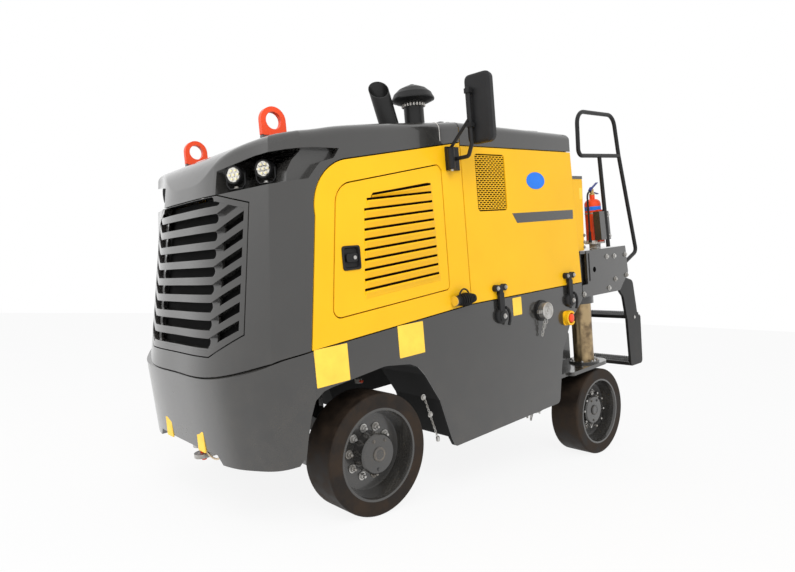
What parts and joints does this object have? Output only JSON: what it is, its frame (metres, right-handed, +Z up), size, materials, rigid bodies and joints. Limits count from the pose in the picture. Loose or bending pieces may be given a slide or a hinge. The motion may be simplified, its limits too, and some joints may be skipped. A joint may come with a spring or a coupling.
{
  "type": "cold planer milling machine",
  "caption": "Compact cold planer on four solid-tyre wheels with a slatted grille, louvred engine doors, rear lifting columns, milling drum and rear operator platform.",
  "frame": {"origin": "on the ground, on the centre plane, under the front axle", "axes": "+X forward, level with the ground; +Y to the machine's left; +Z up; the body stands nose-down by 8.3 degrees about Y on its raised rear columns"},
  "size_m": [3.5444, 1.8072, 2.5473],
  "materials": {
    "black": "satin black paint",
    "bronze": "greased ground steel with a bronze cast",
    "cast": "painted casting",
    "foam": "black vinyl over foam",
    "grey": "semi-gloss warm dark grey enamel",
    "lamp": "clear lens in a dark housing",
    "red": "gloss red-orange enamel",
    "steel": "bare steel",
    "tyre": "dusty solid rubber",
    "yellow": "semi-gloss yellow enamel"
  },
  "bodies": {
    "machine": {"access_steps": "black", "air_precleaner": "black", "console": "yellow", "drum_housing": "grey", "engine_block": "cast", "exhaust_pipe": "black", "extinguisher": "red", "filler_coupling": "steel", "front_axle": "cast", "front_bumper": "grey", "front_panel_left": "yellow", "front_panel_right": "yellow", "grille": "grey", "grille_mesh": "black", "handrail_left": "black", "handrail_right": "black", "hood": "grey", "horn": "black", "hydraulic_tank": "grey", "lifting_eye_left": "red", "lifting_eye_right": "red", "main_frame": "grey", "mirror": "black", "mirror_arm": "black", "panel_latches_left": "black", "panel_latches_right": "black", "platform": "grey", "radiator": "cast", "rear_hood_frame": "yellow", "roof_cover": "grey", "seat": "foam", "side_skirt_left": "grey", "side_skirt_right": "grey", "steering_wheel": "black", "stop_button": "red", "tow_clevis": "steel", "work_lamps_left": "lamp", "work_lamps_right": "lamp"},
    "front_wheel_left": {"tyre_front_left": "tyre", "rim_front_left": "grey"},
    "rear_wheel_left": {"tyre_rear_left": "tyre", "rim_rear_left": "grey"},
    "steered_knuckle_left": {"knuckle_left": "cast"},
    "lifting_leg_left": {"rear_leg_left": "bronze", "rear_fork_left": "grey"},
    "engine_door_left": {"engine_door_left": "yellow"},
    "side_cover_left": {"rear_panel_left": "yellow", "latch_keepers_left": "black"},
    "front_wheel_right": {"tyre_front_right": "tyre", "rim_front_right": "grey"},
    "rear_wheel_right": {"tyre_rear_right": "tyre", "rim_rear_right": "grey"},
    "steered_knuckle_right": {"knuckle_right": "cast"},
    "lifting_leg_right": {"rear_leg_right": "bronze", "rear_fork_right": "grey"},
    "engine_door_right": {"engine_door_right": "yellow"},
    "side_cover_right": {"rear_panel_right": "yellow", "latch_keepers_right": "black"},
    "steering_link": {"tie_rod": "cast"},
    "drum": {"milling_drum": "steel"}
  },
  "joints": [
    {"name": "steer_left", "type": "hinge", "parent": "machine", "child": "steered_knuckle_left", "pos_m": [0, 0.4, 0.31], "axis": [0.1444, 0, 0.9895], "range_deg": [-30, 30]},
    {"name": "front_wheel_spin_left", "type": "hinge", "parent": "steered_knuckle_left", "child": "front_wheel_left", "pos_m": [0, 0.625, 0.31], "axis": [0, 1, 0], "continuous": true},
    {"name": "rear_leg_lift_left", "type": "slide", "parent": "machine", "child": "lifting_leg_left", "axis": [0.1444, 0, 0.9895], "range_m": [0, 0.16]},
    {"name": "rear_wheel_spin_left", "type": "hinge", "parent": "lifting_leg_left", "child": "rear_wheel_left", "pos_m": [-2.1, 0.625, 0.31], "axis": [0, 1, 0], "continuous": true},
    {"name": "engine_door_hinge_left", "type": "hinge", "parent": "machine", "child": "engine_door_left", "pos_m": [-0.4312, 0.75, 1.47772], "axis": [0.1444, 0, 0.9895], "range_deg": [0, 95]},
    {"name": "side_cover_hinge_left", "type": "hinge", "parent": "machine", "child": "side_cover_left", "pos_m": [-1.10405, 0.75, 2.06096], "axis": [0.9895, 0, -0.1444], "range_deg": [0, 80]},
    {"name": "steer_right", "type": "hinge", "parent": "machine", "child": "steered_knuckle_right", "pos_m": [0, -0.4, 0.31], "axis": [0.1444, 0, 0.9895], "range_deg": [-30, 30]},
    {"name": "front_wheel_spin_right", "type": "hinge", "parent": "steered_knuckle_right", "child": "front_wheel_right", "pos_m": [0, -0.625, 0.31], "axis": [0, 1, 0], "continuous": true},
    {"name": "rear_leg_lift_right", "type": "slide", "parent": "machine", "child": "lifting_leg_right", "axis": [0.1444, 0, 0.9895], "range_m": [0, 0.16]},
    {"name": "rear_wheel_spin_right", "type": "hinge", "parent": "lifting_leg_right", "child": "rear_wheel_right", "pos_m": [-2.1, -0.625, 0.31], "axis": [0, 1, 0], "continuous": true},
    {"name": "engine_door_hinge_right", "type": "hinge", "parent": "machine", "child": "engine_door_right", "pos_m": [-0.4312, -0.75, 1.47772], "axis": [0.1444, 0, 0.9895], "range_deg": [-95, 0]},
    {"name": "side_cover_hinge_right", "type": "hinge", "parent": "machine", "child": "side_cover_right", "pos_m": [-1.10405, -0.75, 2.06096], "axis": [0.9895, 0, -0.1444], "range_deg": [-80, 0]},
    {"name": "steering_link_turn", "type": "hinge", "parent": "steered_knuckle_left", "child": "steering_link", "pos_m": [-0.19692, 0.42, 0.27632], "axis": [0.1444, 0, 0.9895], "range_deg": [-30, 30]},
    {"name": "drum_spin", "type": "hinge", "parent": "machine", "child": "drum", "pos_m": [-2.00663, 0, 0.44432], "axis": [0, 1, 0], "continuous": true}
  ],
  "couplings": [
    {"joint": "steer_right", "follows": "steer_left", "ratio": 1},
    {"joint": "steering_link_turn", "follows": "steer_left", "ratio": -1}
  ]
}
